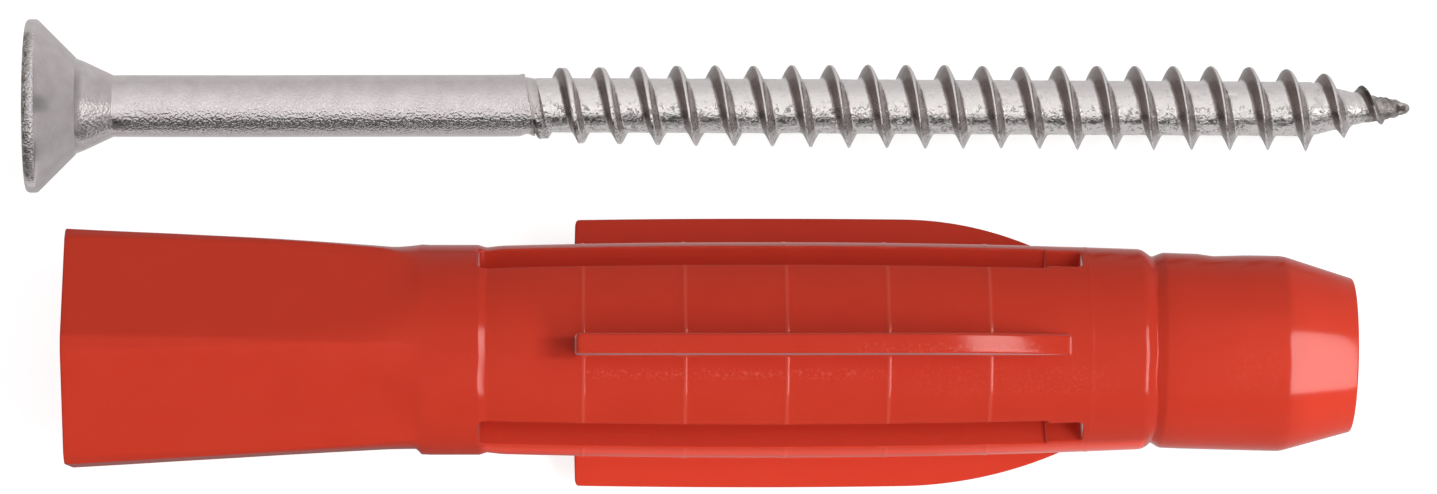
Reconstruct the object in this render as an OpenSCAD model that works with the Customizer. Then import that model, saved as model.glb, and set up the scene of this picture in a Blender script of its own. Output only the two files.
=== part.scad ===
// Wall plug with its screw, lying side by side on a flat surface.
// The plug is one plastic moulding: a six-sided flared mouth, a round collar, a barrel
// slotted into three petals with a fin on each, and a tapered nose behind a groove.
// The screw is steel: a countersunk head with a cross recess, a plain shank, and a
// helical thread that runs out into a point.
// Each is drawn upright on its wide end, along +Z, and then laid down along +X.
// Millimetres, +Z up, with the origin under the middle of the pair.

/* [Screw head] */
// Diameter of the head
head_d = 10; // [9.4:0.1:10.6]
// Thickness of the straight rim round the head
rim_h = 0.8; // [0.6:0.05:1]
// Rounding of the rim's edges
rim_round = 0.25; // [0.1:0.05:0.3]
// Half angle of the countersunk cone
head_angle = 45; // [42:1:48]
// Diameter where the cone gives way to the neck
neck_d = 5.5; // [5:0.1:6]
// Length of the neck's own taper
neck_len = 2.1; // [1.5:0.1:3]
// Width across the wings of the cross recess
recess_d = 5; // [4.4:0.1:5.4]
// Width across the wings at the bottom of the recess
recess_floor_d = 3; // [2.6:0.1:3.4]
// Thickness of a wing of the recess
recess_wing = 1.4; // [1.2:0.1:1.6]
// Depth of the cross recess
recess_depth = 2.5; // [2:0.1:2.8]
// Width of the four fine marks between the wings
mark_w = 0.5; // [0.3:0.05:0.7]
// Depth of the four fine marks between the wings
mark_depth = 1.2; // [0.8:0.1:1.6]

/* [Screw shank and thread] */
// Length of the screw over all
screw_len = 80; // [74:0.5:90]
// Diameter of the plain shank
shank_d = 3.57; // [3.4:0.05:3.8]
// Length from the head's face to the end of the plain shank
plain_len = 29; // [24:0.5:36]
// Outer diameter of the thread
thread_d = 4.88; // [4.5:0.02:5.1]
// Diameter of the core between the turns
core_d = 3.14; // [2.9:0.02:3.3]
// Distance from one turn to the next
thread_pitch = 2.21; // [1.8:0.01:2.8]
// Width of a turn where it leaves the core
turn_base = 1.06; // [0.8:0.02:1.3]
// Width of a turn's flat crest
turn_crest = 0.1; // [0.06:0.01:0.2]
// Length over which the core narrows to the point
point_len = 5.8; // [4.5:0.1:8]
// Radius of the blunt end of the point
point_r = 0.13; // [0.08:0.01:0.25]
// Length over which the turns narrow to the point
crest_point_len = 6.4; // [5:0.1:9]
// Diameter that the narrowing turns head for at the tip
crest_point_d = 0.85; // [0.6:0.05:1.2]
// Length of the bare tip past the last turn
bare_tip_len = 0.7; // [0.4:0.05:1.2]

/* [Plug mouth and collar] */
// Width across the flats of the mouth
mouth_flats = 13.3; // [12.8:0.05:13.8]
// How far each corner of the mouth is cut back from the sharp hexagon's
corner_cut = 0.33; // [0.2:0.01:0.4]
// Length of the flare behind the mouth
flare_len = 20; // [18.5:0.5:24]
// Distance from the mouth to where the corners' line turns
flare_knee_z = 15.5; // [12:0.5:17]
// Width across the blunt corners there
flare_knee_d = 13.4; // [13:0.05:13.6]
// Width across the flats where the flare meets the collar
flare_end_flats = 11.2; // [11:0.05:11.5]
// Diameter where the flare meets the collar
flare_end_d = 11.78; // [11.7:0.01:11.84]
// Diameter of the collar
collar_d = 11.92; // [11.85:0.01:12.3]
// Length of the collar
collar_len = 3.35; // [2.5:0.05:5]
// Length of the bevel at each end of the collar
collar_bevel = 0.12; // [0.05:0.01:0.2]

/* [Plug barrel] */
// Largest radius of the barrel
barrel_r = 6.12; // [6.05:0.01:6.3]
// Radius of the long curve of the barrel's side
barrel_curve = 550; // [400:10:900]
// Length of the barrel, from the collar to the groove
barrel_len = 37.6; // [36:0.2:40]
// Distance from the collar to the barrel's widest place
barrel_peak = 16; // [12:0.5:18]
// Distance from the collar to the slots
slot_start = 0.15; // [0.1:0.05:0.5]
// Width of each slot between two petals
slot_w = 2.2; // [1.6:0.05:2.6]
// Distance from the slots to the groove
slot_end_gap = 3.6; // [2.4:0.1:6]
// Length of the slot's narrower end
slot_tail_len = 2; // [1:0.1:3]
// Width of the slot's narrower end
slot_tail_w = 1.8; // [1.2:0.05:2]
// How far one slot lies off its even place round the barrel, in degrees
slot_shift = 3.2; // [0:0.1:5]
// Distance between the fine raised rings
ring_pitch = 5.78; // [5:0.02:6.5]
// Distance from the collar to the first ring
ring_start = 5.85; // [5:0.05:7]
// Least distance from the last ring to the groove
ring_end_gap = 2.5; // [1.5:0.1:4]
// Height of a ring above the barrel
ring_h = 0.07; // [0.04:0.01:0.12]
// Width of a ring
ring_w = 0.22; // [0.16:0.02:0.4]

/* [Plug fins] */
// Largest radius from the plug's axis to the top of a fin
fin_r = 8.66; // [8:0.02:9.2]
// Thickness of a fin
fin_t = 1.12; // [0.9:0.02:1.3]
// Distance from the collar to the fin's square end
fin_start = 5.4; // [4:0.1:7]
// Length of the fin's top before it curves down
fin_top_len = 18.8; // [14:0.1:20]
// Radius of the curve that brings the fin down to the barrel
fin_curve = 19.2; // [14:0.1:22]
// Rounding of the fin's upper corner at its square end
fin_corner = 0.25; // [0.1:0.05:0.5]
// How far the square end leans, over its height
fin_lean = 0.15; // [0.05:0.05:0.3]

/* [Plug nose] */
// Depth of the groove in front of the nose
groove_depth = 0.32; // [0.2:0.02:0.5]
// Width of the groove
groove_w = 1.1; // [0.7:0.05:1.4]
// Length of the groove's floor
groove_floor = 0.1; // [0.05:0.05:0.2]
// How far the groove's floor lies below its barrel side
groove_step = 0.08; // [0.04:0.01:0.12]
// Diameter of the nose
nose_d = 11.12; // [10.8:0.02:11.3]
// Length of the nose's straight part
nose_len = 6.85; // [5:0.05:9]
// Length of the nose's cone
cone_len = 4; // [3:0.05:5]
// Diameter of the nose's end
nose_end_d = 8.74; // [8:0.02:9.4]
// How far the nose is bent to one side, in degrees
nose_bend = 1; // [0:0.1:2]

/* [Plug bore] */
// Gap between the screw's head and the countersink in the mouth
head_gap = 0.1; // [0.05:0.05:0.2]
// Gap between the thread and the straight bore
thread_gap = 0.1; // [0.05:0.01:0.2]
// Gap between the screw's core and the narrow bore
core_gap = 0.13; // [0.08:0.01:0.2]
// Length of the straight bore past the collar, where the slots already cut it
bore_past_len = 0.8; // [0.4:0.1:2]
// Length of the bore's taper past the slots, before the narrow bore
taper_past_len = 0.5; // [0.3:0.1:1.5]

/* [Layout] */
// Distance between the two axes, side by side
axis_gap = 15.05; // [14.8:0.05:20]
// How far the plug's mouth lies past the screw's head
mouth_offset = 3.0; // [0:0.1:8]
// Turn of the screw on the surface, seen from above
screw_yaw = 0.5; // [-1:0.1:1]
// Turn of the plug on the surface, seen from above
plug_yaw = 0.3; // [-1:0.1:1]
// How far the screw has rolled about its own axis
screw_roll = 234; // [0:1:360]

/* [Hidden] */
round_fn = 96;
corner_steps = 4;
// How far a cut goes past the faces that it opens.
past = 1;

// Screw, derived.
head_r = head_d / 2;
cone_foot = [
    head_r - rim_round * (1 - cos(head_angle)),
    rim_h - rim_round * (1 - sin(head_angle))
];
neck_z = cone_foot[1] + (cone_foot[0] - neck_d / 2) / tan(head_angle);
thread_h = (thread_d - core_d) / 2;
turn_steps = 24;
turn_points = 4;
// The turns start inside the plain shank, this many turns before its end.
hidden_turns = 1.3;
strip_z = plain_len - hidden_turns * thread_pitch;
// Share of its height that the thread gains in its first turn, and the number of turns
// over which it gains the rest.
first_rise = 0.6;
slow_turns = 5;
// Share of the blunt crest's width at the thread's start, and how steeply the last turn
// sinks into the tip.
blunt_share = 0.8;
fade_slope = 0.45;
crest_slope = (thread_d - crest_point_d) / 2 / crest_point_len;
point_slope = (core_d / 2 - point_r) / point_len;
strip_steps = floor(
    (screw_len - strip_z - (thread_pitch + turn_base) / 2) / thread_pitch * turn_steps
);

// Plug, derived.
plug_petals = 3;
petal_angle = 360 / plug_petals;
mouth_sides = 6;
side_half = 180 / mouth_sides;
mouth_corners = mouth_flats / cos(side_half) - 2 * corner_cut;
collar_z = flare_len;
barrel_z = collar_z + collar_len;
slot_len = barrel_len - slot_start - slot_end_gap;
slot_z = barrel_z + slot_start;
ring_count = floor((barrel_len - ring_start - ring_end_gap) / ring_pitch) + 1;
groove_z = barrel_z + barrel_len;
nose_z = groove_z + groove_w;
cone_z = nose_z + nose_len;
plug_len = cone_z + cone_len;
groove_r = barrel_curve_r(barrel_len) - groove_depth;
bore_r = thread_d / 2 + thread_gap;
pilot_r = core_d / 2 + core_gap;
seat_r = head_r + head_gap;
taper_z = barrel_z + bore_past_len;
pilot_z = slot_z + slot_len + taper_past_len;
fin_bend_d = fin_start + fin_top_len;
fin_bend_z = barrel_z + fin_bend_d;
fin_bend_r = fin_r - bulge(fin_bend_d);
fin_end_angle = acos(1 - (fin_r - bore_r) / fin_curve);

// How the screw lies: on the far edge of its rim and on its last full turn.
rim_touch = rim_h - rim_round;
turn_touch = screw_len - crest_point_len;
screw_dip = atan((head_r - thread_d / 2) / (turn_touch - rim_touch));
screw_height = rim_touch * sin(screw_dip) + head_r * cos(screw_dip);

// How the plug lies: on a corner of its mouth, on its nose and on one fin. The blunt
// corner spans corner_half to each side, and plug_roll brings a fin's edge down to the
// line from the mouth to the nose. A fin stands fin_angle round from that corner.
fin_angle = 2 * side_half;
corner_half = side_half - acos(mouth_flats / mouth_corners);
touch_share = (cone_z - fin_bend_z) / cone_z;
corner_share = touch_share * mouth_corners / 2;
roll_a = fin_bend_r * cos(fin_angle) + fin_t / 2 * sin(fin_angle) - corner_share * cos(corner_half);
roll_b = fin_bend_r * sin(fin_angle) - fin_t / 2 * cos(fin_angle) - corner_share * sin(corner_half);
roll_c = nose_d / 2 * (1 - touch_share);
plug_roll = atan2(roll_b, roll_a) - acos(roll_c / norm([roll_a, roll_b]));
mouth_touch = mouth_corners / 2 * cos(plug_roll - corner_half);
nose_touch = nose_d / 2 + (cone_z - groove_z) * sin(nose_bend) * sin(plug_roll);
plug_dip = atan((mouth_touch - nose_touch) / cone_z);
plug_height = mouth_touch * cos(plug_dip);

// Places of the two pieces, so that the pair's box is centred on the origin: it reaches
// from the mouth's outer corner to the head's far side, and from the head to the tip.
mouth_reach = mouth_corners / 2 * sin(2 * side_half + plug_roll + corner_half);
pair_x = (head_r * sin(screw_dip) - screw_len * cos(screw_dip)) / 2;
pair_y = (mouth_reach - head_r) / 2;
screw_place = [pair_x, pair_y + axis_gap / 2];
plug_place = [pair_x + mouth_offset, pair_y - axis_gap / 2];

// Points of an arc about a centre, from one angle to another.
function arc(centre, r, from, to) = [
    for (i = [0:corner_steps])
        let (a = from + (to - from) * i / corner_steps)
            centre + r * [cos(a), sin(a)]
];

// Value held between 0 and 1.
function share(t) = min(1, max(0, t));

// How far the long curve has fallen at a distance from the collar, and the barrel's
// radius there.
function bulge(d) = pow(d - barrel_peak, 2) / (2 * barrel_curve);
function barrel_curve_r(d) = barrel_r - bulge(d);

// Point of a fin's edge at a distance from the collar, lowered by a drop.
function fin_point(d, drop) = [fin_r - bulge(d) - drop, barrel_z + d];

// How much of its full height the thread has at height z.
function risen(z) =
    let (s = z - plain_len + thread_pitch / 4)
        first_rise * share(s / thread_pitch) + (1 - first_rise) * share(s / slow_turns / thread_pitch);

// Radius of the core, and of the crest, at height z.
function core_r(z) = min(core_d / 2, point_r + (screw_len - z) * point_slope);
function crest_r(z) =
    let (
        rise = thread_h * risen(z),
        cone = thread_d / 2 - (z - screw_len + crest_point_len) * crest_slope - core_r(z),
        fade = fade_slope * (screw_len - bare_tip_len - z)
    )
        core_r(z) + max(0, min(rise, cone, fade));

// Half width of a turn's crest at height z, wide and blunt where the thread starts.
function crest_half(z) = (turn_crest + blunt_share * (turn_base - turn_crest) * (1 - risen(z))) / 2;

// Point j of the turn's outline at step i of the helix, as a place in space.
function turn_point(i, j) =
    let (
        a = 360 * i / turn_steps,
        mid = strip_z + thread_pitch * (i / turn_steps + 0.5),
        off = j == 0 ? -turn_base / 2 : j == 1 ? -crest_half(mid) : j == 2 ? crest_half(mid) : turn_base / 2,
        z = mid + off,
        r = (j == 0 || j == 3) ? core_r(z) : crest_r(z)
    )
        [r * cos(a), r * sin(a), z];

// The four corners of one face of the strip as two triangles.
function quad(a, b, c, d) = [[a, b, c], [a, c, d]];

// Index of point j at step i.
function at(i, j) = turn_points * i + j;

// Core, turns and point as one closed strip wound round the axis.
module screw_thread() {
    last = strip_steps;
    first_centre = turn_points * (last + 1);
    last_centre = first_centre + 1;
    points = concat(
        [for (i = [0:last], j = [0:turn_points - 1]) turn_point(i, j)],
        [[0, 0, strip_z + thread_pitch / 2], [0, 0, screw_len]]
    );
    turn_faces = [
        for (i = [0:last - 1], j = [0:turn_points - 2])
            each quad(at(i, j), at(i, j + 1), at(i + 1, j + 1), at(i + 1, j))
    ];
    land_faces = [
        for (i = [0:last - turn_steps - 1])
            each quad(at(i, 3), at(i + turn_steps, 0), at(i + turn_steps + 1, 0), at(i + 1, 3))
    ];
    start_faces = [for (i = [0:turn_steps - 1]) [first_centre, at(i, 0), at(i + 1, 0)]];
    end_faces = [for (i = [last - turn_steps:last - 1]) [last_centre, at(i + 1, 3), at(i, 3)]];
    walls = [
        [first_centre, at(turn_steps, 0), at(0, 3), at(0, 2), at(0, 1), at(0, 0)],
        [last_centre, at(last - turn_steps, 3), at(last, 0), at(last, 1), at(last, 2), at(last, 3)]
    ];
    polyhedron(points, concat(turn_faces, land_faces, start_faces, end_faces, walls));
}

// Head, neck and plain shank, turned about the axis.
module screw_body() {
    outline = concat(
        [[0, 0]],
        arc([head_r - rim_round, rim_round], rim_round, -90, 0),
        arc([head_r - rim_round, rim_h - rim_round], rim_round, 0, head_angle),
        [
            [neck_d / 2, neck_z],
            [shank_d / 2, neck_z + neck_len],
            [shank_d / 2, plain_len],
            [0, plain_len]
        ]
    );
    rotate_extrude($fn = round_fn) polygon(outline);
}

// One pair of opposite wings of the recess, narrowing towards its floor.
module recess_wings(wide, narrow, thick, deep) {
    rotate([90, 0, 0])
        linear_extrude(height = thick, center = true)
            polygon([
                [-wide / 2, 0], [wide / 2, 0], [narrow / 2, deep], [-narrow / 2, deep]
            ]);
}

// Cross recess with its pointed floor and the four fine marks between the wings.
module drive_recess() {
    for (a = [0, 90]) {
        rotate([0, 0, a]) recess_wings(recess_d, recess_floor_d, recess_wing, recess_depth);
        rotate([0, 0, a + 45]) recess_wings(recess_floor_d + mark_w, recess_wing, mark_w, mark_depth);
    }
}

// Lays an upright piece down along +X on the surface z = 0.
module lay_down(place, height, yaw, dip, roll) {
    translate([place[0], place[1], height])
        rotate([0, 0, yaw])
            rotate([0, 90 + dip, 0])
                rotate([0, 0, roll])
                    children();
}

module screw() {
    color("silver")
        lay_down(screw_place, screw_height, screw_yaw, screw_dip, screw_roll) {
            difference() {
                screw_body();
                drive_recess();
            }
            screw_thread();
        }
}

// Six-sided flare whose corners fade into the round of the collar.
module flare() {
    intersection() {
        cylinder(
            h = flare_len,
            r1 = mouth_flats / 2 / cos(side_half),
            r2 = flare_end_flats / 2 / cos(side_half),
            $fn = mouth_sides
        );
        rotate_extrude($fn = round_fn)
            polygon([
                [0, 0],
                [mouth_corners / 2, 0],
                [flare_knee_d / 2, flare_knee_z],
                [flare_end_d / 2, flare_len],
                [0, flare_len]
            ]);
    }
}

// Collar and barrel, turned about the axis.
module barrel() {
    curve_steps = 8;
    outline = concat(
        [
            [0, collar_z],
            [flare_end_d / 2, collar_z],
            [collar_d / 2, collar_z + collar_bevel],
            [collar_d / 2, barrel_z - collar_bevel]
        ],
        [
            for (i = [0:curve_steps])
                let (d = barrel_len * i / curve_steps)
                    [barrel_curve_r(d), barrel_z + d]
        ],
        [
            [groove_r, groove_z + groove_w / 2],
            [0, groove_z + groove_w / 2]
        ]
    );
    rotate_extrude($fn = round_fn) polygon(outline);
}

// Fine raised rings left by the mould, on the barrel.
module rings() {
    for (i = [0:ring_count - 1]) {
        d = ring_start + i * ring_pitch;
        r = barrel_curve_r(d);
        translate([0, 0, barrel_z + d])
            rotate_extrude($fn = round_fn)
                polygon([
                    [r - ring_h, -ring_w],
                    [r + ring_h, -ring_w / 4],
                    [r + ring_h, ring_w / 4],
                    [r - ring_h, ring_w]
                ]);
    }
}

// Nose with its cone, bent a little to one side at the groove.
module nose() {
    translate([0, 0, groove_z + groove_w / 2])
        rotate([-nose_bend, 0, 0])
            rotate_extrude($fn = round_fn)
                polygon([
                    [0, -groove_w / 2],
                    [groove_r - groove_step, -groove_w / 2],
                    [groove_r - groove_step, groove_floor],
                    [nose_d / 2, groove_w / 2],
                    [nose_d / 2, groove_w / 2 + nose_len],
                    [nose_end_d / 2, groove_w / 2 + nose_len + cone_len],
                    [0, groove_w / 2 + nose_len + cone_len]
                ]);
}

// Outline of a fin, from the axis outwards: a leaning square end with a rounded
// corner, a top that bulges with the barrel, and a long curve down to the barrel.
module fin_outline() {
    top_steps = 6;
    curve_steps = 14;
    top_d = fin_start + fin_corner;
    corner = fin_point(fin_start, 0) + [-fin_corner, fin_corner];
    polygon(concat(
        [[bore_r, barrel_z + fin_start - fin_lean]],
        arc(corner, fin_corner, -90, 0),
        [for (i = [1:top_steps]) fin_point(top_d + (fin_bend_d - top_d) * i / top_steps, 0)],
        [
            for (i = [1:curve_steps])
                let (a = fin_end_angle * i / curve_steps)
                    fin_point(fin_bend_d + fin_curve * sin(a), fin_curve * (1 - cos(a)))
        ]
    ));
}

// A fin on the middle of each petal.
module fins() {
    for (k = [0:plug_petals - 1])
        rotate([0, 0, k * petal_angle])
            rotate([90, 0, 0])
                linear_extrude(height = fin_t, center = true)
                    fin_outline();
}

// The slots between the petals, open to the bore. The first one lies a little off.
module slots() {
    reach = fin_r;
    for (k = [0:plug_petals - 1])
        rotate([0, 0, (k + 0.5) * petal_angle - (k == 0 ? slot_shift : 0)]) {
            translate([0, -slot_w / 2, slot_z]) cube([reach, slot_w, slot_len - slot_tail_len]);
            translate([0, -slot_tail_w / 2, slot_z]) cube([reach, slot_tail_w, slot_len]);
        }
}

// Countersink for the head, straight bore for the thread, a long taper between the
// petals, and a narrow bore through the nose that the thread bites into.
module bore() {
    seat_len = (seat_r - bore_r) / tan(head_angle);
    rotate_extrude($fn = round_fn)
        polygon([
            [0, -past],
            [seat_r + past * tan(head_angle), -past],
            [bore_r, seat_len],
            [bore_r, taper_z],
            [pilot_r, pilot_z],
            [pilot_r, plug_len + past],
            [0, plug_len + past]
        ]);
}

module wall_plug() {
    color("tomato")
        lay_down(plug_place, plug_height, plug_yaw, plug_dip, 180 + plug_roll)
            difference() {
                union() {
                    flare();
                    barrel();
                    rings();
                    fins();
                    nose();
                }
                slots();
                bore();
            }
}

screw();
wall_plug();
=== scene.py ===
"""Looks for a wall plug and its screw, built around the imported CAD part.

Both nodes are replaced by finer meshes of the same form. Each is built upright in
millimetres, along +Z from its wide end, and then laid down as the CAD part is.
"""
import math

import bmesh
import bpy
import numpy as np
from mathutils import Matrix, Vector, noise


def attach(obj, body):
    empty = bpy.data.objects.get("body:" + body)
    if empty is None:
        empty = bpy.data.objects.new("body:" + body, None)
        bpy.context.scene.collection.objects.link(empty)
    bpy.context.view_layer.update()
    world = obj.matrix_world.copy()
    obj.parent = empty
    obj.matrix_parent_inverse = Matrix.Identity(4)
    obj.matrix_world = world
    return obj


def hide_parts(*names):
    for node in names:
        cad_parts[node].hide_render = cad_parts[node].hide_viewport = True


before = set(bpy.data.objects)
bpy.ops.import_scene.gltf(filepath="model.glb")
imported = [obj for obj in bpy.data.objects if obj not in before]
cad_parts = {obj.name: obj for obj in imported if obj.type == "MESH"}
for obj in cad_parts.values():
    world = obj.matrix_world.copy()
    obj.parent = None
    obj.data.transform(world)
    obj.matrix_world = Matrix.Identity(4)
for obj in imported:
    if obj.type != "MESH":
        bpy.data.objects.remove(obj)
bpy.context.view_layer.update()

MM = 0.001
TAU = 2 * math.pi

# The screw's own sizes, in millimetres and degrees.
HEAD_R, RIM_H, RIM_ROUND, HEAD_ANGLE = 5.0, 0.8, 0.25, 45.0
NECK_R, NECK_LEN = 2.75, 2.1
RECESS_R, RECESS_FLOOR_R, RECESS_WING, RECESS_DEPTH = 2.5, 1.5, 1.4, 2.5
MARK_W, MARK_DEPTH = 0.5, 1.2
SCREW_LEN, SHANK_R, PLAIN_LEN = 80.0, 1.785, 29.0
THREAD_R, CORE_R, PITCH = 2.44, 1.57, 2.21
TURN_BASE, TURN_CREST = 1.06, 0.1
POINT_LEN, POINT_R = 5.8, 0.13
CREST_POINT_LEN, CREST_POINT_R, BARE_TIP_LEN = 6.4, 0.425, 0.7
HIDDEN_TURNS, FIRST_RISE, SLOW_TURNS = 1.3, 0.6, 5.0
BLUNT_SHARE, FADE_SLOPE = 0.8, 0.45

# The plug's own sizes. The rings' height and places are the photograph's, a little off the part's.
MOUTH_FLATS, CORNER_CUT = 13.3, 0.33
FLARE_LEN, FLARE_KNEE_Z, FLARE_KNEE_R = 20.0, 15.5, 6.7
FLARE_END_FLATS, FLARE_END_R = 11.2, 5.89
COLLAR_R, COLLAR_LEN = 5.96, 3.35
BARREL_R, BARREL_CURVE, BARREL_LEN, BARREL_PEAK = 6.12, 550.0, 37.6, 16.0
SLOT_START, SLOT_END_GAP, SLOT_SHIFT = 0.15, 3.6, 3.2
SLOT_W, SLOT_TAIL_LEN, SLOT_TAIL_W = 2.2, 2.0, 1.8
RING_PITCH, RING_START, RING_COUNT, RING_H, RING_W = 5.715, 5.8, 6, 0.037, 0.22
FIN_R, FIN_T, FIN_START, FIN_TOP_LEN, FIN_CURVE = 8.66, 1.12, 5.4, 18.8, 19.2
FIN_CORNER = 0.25
GROOVE_DEPTH, GROOVE_W, GROOVE_FLOOR = 0.32, 1.1, 0.1
NOSE_R, NOSE_LEN, CONE_LEN, NOSE_END_R, NOSE_BEND = 5.56, 6.85, 4.0, 4.37, 1.0
SEAT_R, BORE_R, PILOT_R = 5.1, 2.54, 1.7
BORE_PAST_LEN, TAPER_PAST_LEN = 0.8, 0.5

# How the two lie.
AXIS_GAP, MOUTH_OFFSET = 15.05, 3.0
SCREW_YAW, SCREW_ROLL, PLUG_YAW = 0.5, 234.0, 0.3

PETALS, SIDES = 3, 6
SEEN_SLOT, LOWEST_FIN = 0, 1
PETAL_ANGLE = 360 / PETALS
SIDE = TAU / SIDES
MOUTH_CORNER_R = MOUTH_FLATS / 2 / math.cos(SIDE / 2) - CORNER_CUT
BARREL_Z = FLARE_LEN + COLLAR_LEN
SLOT_Z = BARREL_Z + SLOT_START
SLOT_END_Z = BARREL_Z + BARREL_LEN - SLOT_END_GAP
GROOVE_Z = BARREL_Z + BARREL_LEN
NOSE_Z = GROOVE_Z + GROOVE_W
CONE_Z = NOSE_Z + NOSE_LEN
PLUG_LEN = CONE_Z + CONE_LEN
TAPER_Z = BARREL_Z + BORE_PAST_LEN
PILOT_Z = SLOT_END_Z + TAPER_PAST_LEN

# What sets this pair off from straight, unworn ones, each as (height, change) in millimetres.
# Screw bent away from the plug.
SCREW_BOW = (
    (0, -0.045), (13, -0.045), (18, -0.02), (27, 0), (30, 0.035), (45, -0.005),
    (58, -0.07), (70, -0.115), (74, -0.14), (78, -0.11), (80, -0.09),
)
# Plug bent towards the screw.
PLUG_BOW = (
    (0, 0.03), (3, 0.045), (6, 0.078), (9, 0.095), (12, 0.115), (15, 0.11), (18, 0.09),
    (19.9, 0.03), (20.5, 0), (40, 0.01), (56, 0.05), (61, 0.075), (62.5, 0.01), (67, -0.034),
    (72.9, -0.065),
)
# Crests worn down or raised.
CREST_CHANGE = (
    (31, 0), (35, -0.06), (37.5, -0.06), (40, -0.11), (42.5, -0.1), (45, -0.055), (49, -0.02),
    (53, 0), (55, -0.04), (57.6, -0.06), (60, 0), (70, 0), (71, -0.03), (72.35, 0), (72.9, -0.14),
    (73.35, -0.02), (73.9, 0.17), (74.4, 0), (75, 0.08), (77.2, 0.06), (77.8, 0),
)
# Flare's corners fuller.
CORNER_CHANGE = (
    (0, 0.075), (3, 0.06), (8, 0.01), (12, 0), (14.6, 0.05), (16.3, 0.1), (18, 0.17), (20, 0.15),
)


# Small maths on arrays.
def step01(t):
    t = np.clip(t, 0, 1)
    return t * t * (3 - 2 * t)


def rise(x, start, width):
    """0 up to start, then smoothly up to 1 over the width."""
    return step01((x - start) / width)


def fall(x, end, width):
    """1 up to the width before end, then smoothly down to 0 at end."""
    return step01((end - x) / width)


def hump(x, middle, width):
    return np.exp(-((x - middle) / width) ** 2)


def along(table, z):
    """Value at height z from a table of (height, value)."""
    return np.interp(z, *zip(*table))


def soft_min(a, b, k):
    h = np.maximum(k - np.abs(a - b), 0) / k
    return np.minimum(a, b) - h * h * k / 4


def soft_max(a, b, k):
    return -soft_min(-np.asarray(a), -np.asarray(b), k)


def lumps(points, scale, seed):
    """Smooth noise from -1 to 1 at each point, with about scale lumps per millimetre."""
    shift = Vector((seed * 17.3, seed * 5.7, seed * 31.1))
    return np.array([noise.noise(Vector(p) * scale + shift) for p in points])


# Resting places of the two pieces, worked out as in the part's own source.
def barrel_fall(d):
    return (d - BARREL_PEAK) ** 2 / (2 * BARREL_CURVE)


def barrel_radius(d):
    return BARREL_R - barrel_fall(d)


def plug_rest():
    """Height, dip and roll of the plug, on its mouth's corner, its nose and one fin."""
    bend_d = FIN_START + FIN_TOP_LEN
    bend_r = FIN_R - barrel_fall(bend_d)
    corner_half = SIDE / 2 - math.acos(MOUTH_FLATS / 2 / MOUTH_CORNER_R)
    touch = (CONE_Z - BARREL_Z - bend_d) / CONE_Z
    a = bend_r * math.cos(SIDE) + FIN_T / 2 * math.sin(SIDE)
    b = bend_r * math.sin(SIDE) - FIN_T / 2 * math.cos(SIDE)
    a -= touch * MOUTH_CORNER_R * math.cos(corner_half)
    b -= touch * MOUTH_CORNER_R * math.sin(corner_half)
    c = NOSE_R * (1 - touch)
    roll = math.atan2(b, a) - math.acos(c / math.hypot(a, b))
    mouth = MOUTH_CORNER_R * math.cos(roll - corner_half)
    bend = math.sin(math.radians(NOSE_BEND)) * math.sin(roll)
    nose = NOSE_R + (CONE_Z - GROOVE_Z) * bend
    dip = math.atan((mouth - nose) / CONE_Z)
    reach = MOUTH_CORNER_R * math.sin(SIDE + roll + corner_half)
    return mouth * math.cos(dip), math.degrees(dip), 180 + math.degrees(roll), reach


def screw_rest():
    """Height and dip of the screw, on its rim and a late turn of its thread."""
    rim = RIM_H - RIM_ROUND
    dip = math.atan((HEAD_R - THREAD_R) / (SCREW_LEN - CREST_POINT_LEN - rim))
    return rim * math.sin(dip) + HEAD_R * math.cos(dip), math.degrees(dip)


def laid_down(place, height, yaw, dip, roll):
    """Matrix from a piece's upright millimetres to the frame's metres."""
    turn = (
        Matrix.Rotation(math.radians(yaw), 4, "Z")
        @ Matrix.Rotation(math.radians(90 + dip), 4, "Y")
        @ Matrix.Rotation(math.radians(roll), 4, "Z")
    )
    return Matrix.Scale(MM, 4) @ Matrix.Translation((place[0], place[1], height)) @ turn


plug_height, plug_dip, plug_roll, mouth_reach = plug_rest()
screw_height, screw_dip = screw_rest()
dip_sin, dip_cos = math.sin(math.radians(screw_dip)), math.cos(math.radians(screw_dip))
pair_x = (HEAD_R * dip_sin - SCREW_LEN * dip_cos) / 2
pair_y = (mouth_reach - HEAD_R) / 2
screw_frame = laid_down(
    (pair_x, pair_y + AXIS_GAP / 2), screw_height, SCREW_YAW, screw_dip, SCREW_ROLL
)
plug_frame = laid_down(
    (pair_x + MOUTH_OFFSET, pair_y - AXIS_GAP / 2), plug_height, PLUG_YAW, plug_dip, plug_roll
)


# Camera, looking down on the pair a little from the plug's side.
CAMERA_TILT = math.radians(14.7)
CAMERA_FAR = 400.0
VIEW_WIDTH = 82.34
SENSOR = 36.0
AIM = (-0.02, 0.2, 4.8)


def add_camera():
    up = Vector((0, math.cos(CAMERA_TILT), math.sin(CAMERA_TILT)))
    back = Vector((0, -math.sin(CAMERA_TILT), math.cos(CAMERA_TILT)))
    data = bpy.data.cameras.new("camera")
    data.sensor_width = SENSOR
    data.lens = SENSOR * CAMERA_FAR / VIEW_WIDTH
    data.clip_start = 0.02
    camera = bpy.data.objects.new("camera", data)
    aim = Vector((AIM[0], 0, AIM[2])) + up * AIM[1]
    camera.location = (aim + back * CAMERA_FAR) * MM
    camera.rotation_euler = (CAMERA_TILT, 0, 0)
    bpy.context.collection.objects.link(camera)
    bpy.context.scene.camera = camera
    bpy.context.scene.view_settings.view_transform = "Standard"


def seen_angle(roll, up):
    """A rolled piece's own angle, in degrees, of the side seen that far up from its middle."""
    return 180 + math.degrees(CAMERA_TILT) - up - roll


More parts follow.
